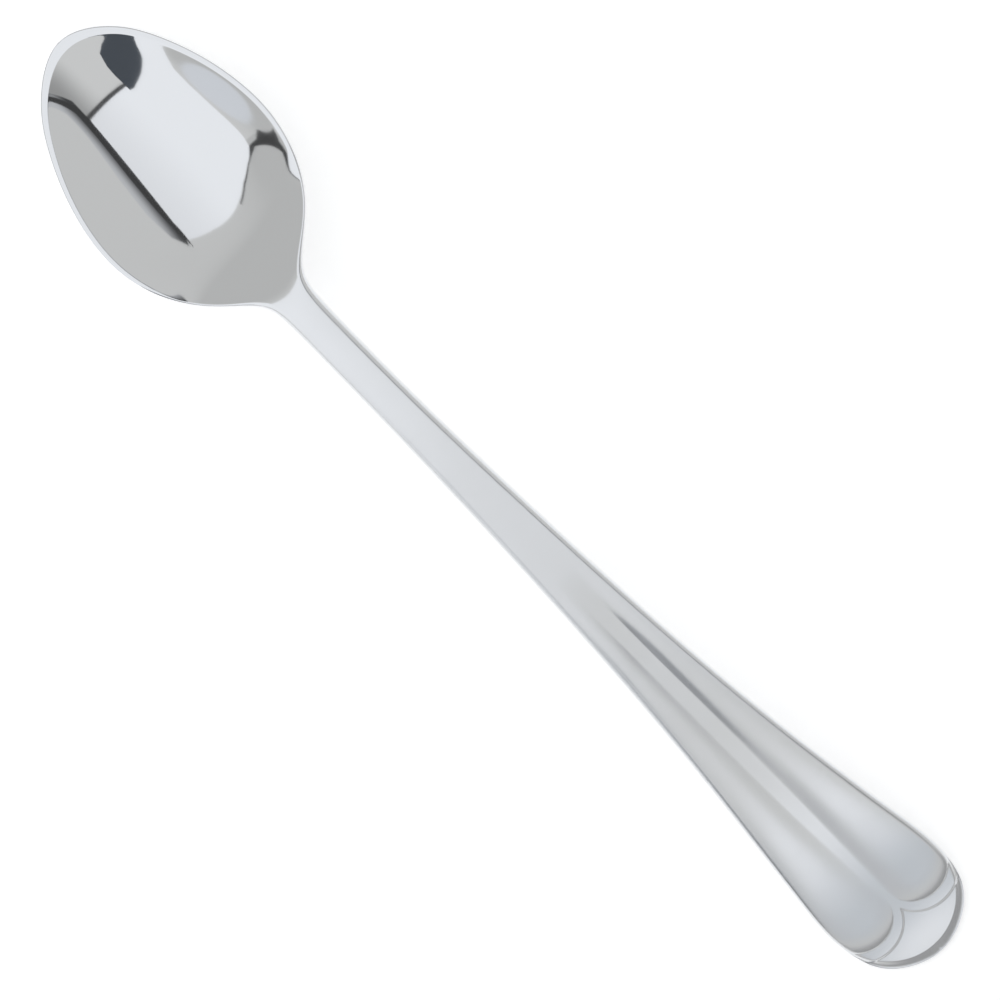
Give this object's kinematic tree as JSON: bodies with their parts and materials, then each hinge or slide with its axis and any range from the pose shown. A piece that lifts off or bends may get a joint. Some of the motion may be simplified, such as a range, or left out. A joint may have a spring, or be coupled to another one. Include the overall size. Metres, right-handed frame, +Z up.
{
  "type": "iced tea spoon",
  "caption": "Long slim stainless steel spoon with a deep egg-shaped bowl, an arched plain stem and a widening handle with raised pads beside a narrow strip, rounded at its end.",
  "frame": {"origin": "on the surface the spoon lies on, below the middle of its length and width", "axes": "+X runs along the spoon from the bowl's tip to the handle's end, +Y across it, +Z up, out of the bowl's hollow"},
  "size_m": [0.184, 0.0326, 0.0138],
  "materials": {
    "polished_steel": "mirror polished",
    "satin_steel": "soft bright polish"
  },
  "bodies": {
    "root": {"bowl": "polished_steel", "neck": "polished_steel", "stem": "satin_steel", "handle": "satin_steel", "end_plate": "satin_steel"}
  },
  "joints": []
}
